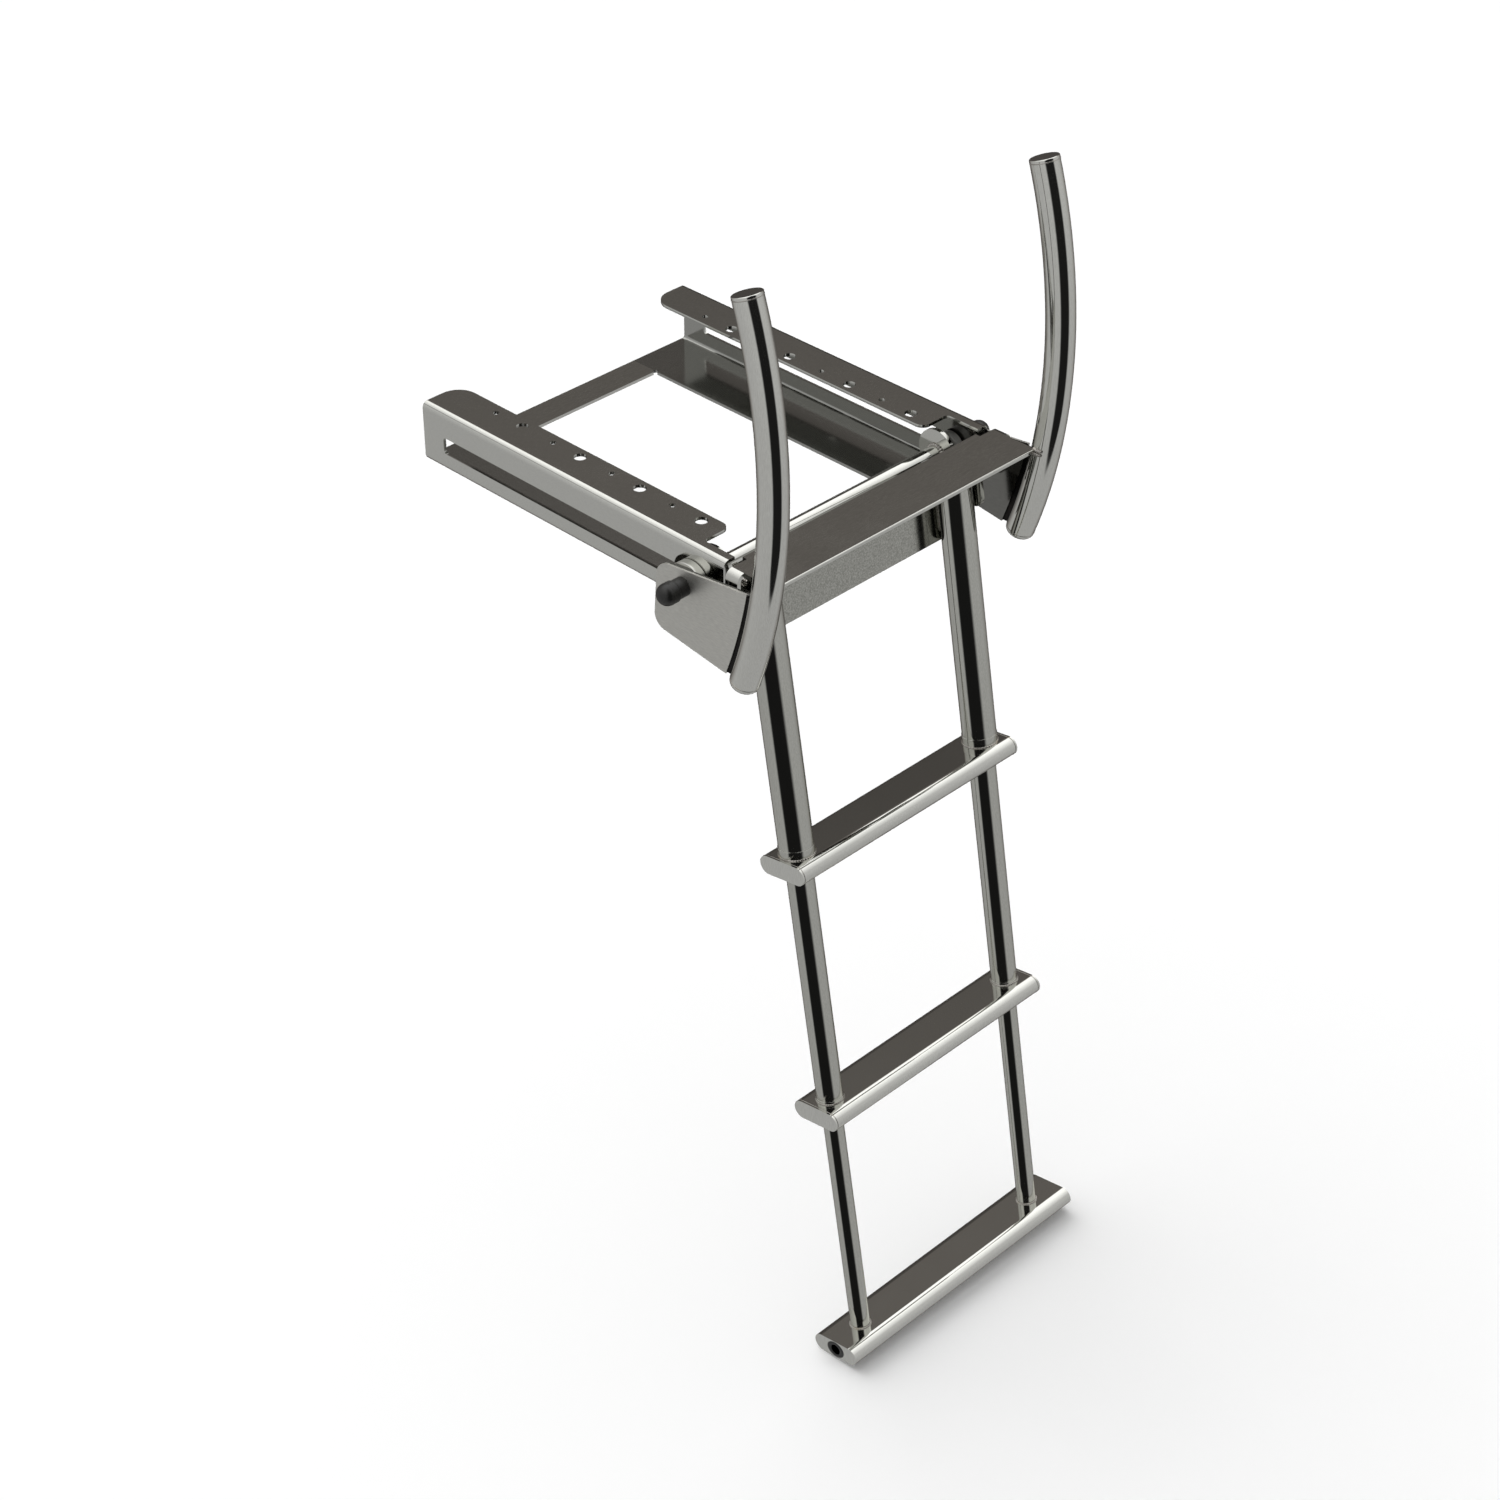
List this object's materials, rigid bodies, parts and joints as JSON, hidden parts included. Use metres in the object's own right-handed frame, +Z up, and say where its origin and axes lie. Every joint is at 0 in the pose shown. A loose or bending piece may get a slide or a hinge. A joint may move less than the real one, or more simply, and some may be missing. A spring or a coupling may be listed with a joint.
{
  "type": "telescopic swim ladder",
  "caption": "Swim ladder of polished tube and sheet with telescoping legs, flat rounded steps, curved grab handles and a slotted frame that bolts under a platform.",
  "frame": {"origin": "on the top face of the left rail's flange, on its hole line, midway between the two holes nearest the middle of the pattern", "axes": "+Z up, out of the flange faces; +Y to the rear along the rails; +X along the steps, from the left rail to the right rail; the ladder hangs down and leans to -Y"},
  "size_m": [0.4048, 0.5454, 1.0956],
  "materials": {
    "polished_sheet": "mirror-polished stainless steel sheet",
    "polished_steel": "mirror-polished stainless steel tube",
    "weld_seam": "ground weld",
    "black_rubber": "moulded black rubber",
    "guide_plastic": "turned acetal",
    "roller_plastic": "turned acetal"
  },
  "bodies": {
    "frame": {"rail_left": "polished_sheet", "rail_right": "polished_sheet", "cross_strip": "polished_sheet"},
    "head": {"axle": "polished_steel", "head_plate": "polished_sheet", "back_sheet": "polished_sheet", "step_upper": "polished_steel", "axle_roller_left": "roller_plastic", "axle_roller_right": "roller_plastic", "axle_spacer_left": "polished_steel", "axle_spacer_right": "polished_steel", "axle_cap_left": "black_rubber", "axle_cap_right": "black_rubber", "ear_spacer_left": "polished_steel", "ear_spacer_right": "polished_steel", "side_plate_left": "polished_sheet", "side_plate_right": "polished_sheet", "side_weld_left": "weld_seam", "side_weld_right": "weld_seam", "handle_left": "polished_steel", "handle_right": "polished_steel", "handle_top_cap_left": "polished_steel", "handle_top_cap_right": "polished_steel", "handle_foot_cap_left": "polished_steel", "handle_foot_cap_right": "polished_steel", "hinge_gusset_left": "polished_sheet", "hinge_gusset_right": "polished_sheet", "upper_tube_left": "polished_steel", "upper_tube_right": "polished_steel", "upper_collar_left": "weld_seam", "upper_collar_right": "weld_seam", "upper_bush_left": "guide_plastic", "upper_bush_right": "guide_plastic"},
    "middle_section": {"step_middle": "polished_steel", "mid_tube_left": "polished_steel", "mid_tube_right": "polished_steel", "mid_slide_ring_left": "guide_plastic", "mid_slide_ring_right": "guide_plastic", "mid_collar_left": "weld_seam", "mid_collar_right": "weld_seam", "mid_bush_left": "guide_plastic", "mid_bush_right": "guide_plastic"},
    "lower_section": {"step_lower": "polished_steel", "low_tube_left": "polished_steel", "low_tube_right": "polished_steel"}
  },
  "joints": [
    {"name": "head_swing", "type": "hinge", "parent": "frame", "child": "head", "pos_m": [0.1293, -0.1549, -0.0332], "axis": [-1, 0, 0], "range_deg": [0, 80]},
    {"name": "middle_slide", "type": "slide", "parent": "head", "child": "middle_section", "axis": [0, 0.1736, 0.9848], "range_m": [0, 0.2366]},
    {"name": "lower_slide", "type": "slide", "parent": "middle_section", "child": "lower_section", "axis": [0, 0.1736, 0.9848], "range_m": [0, 0.2366]}
  ]
}
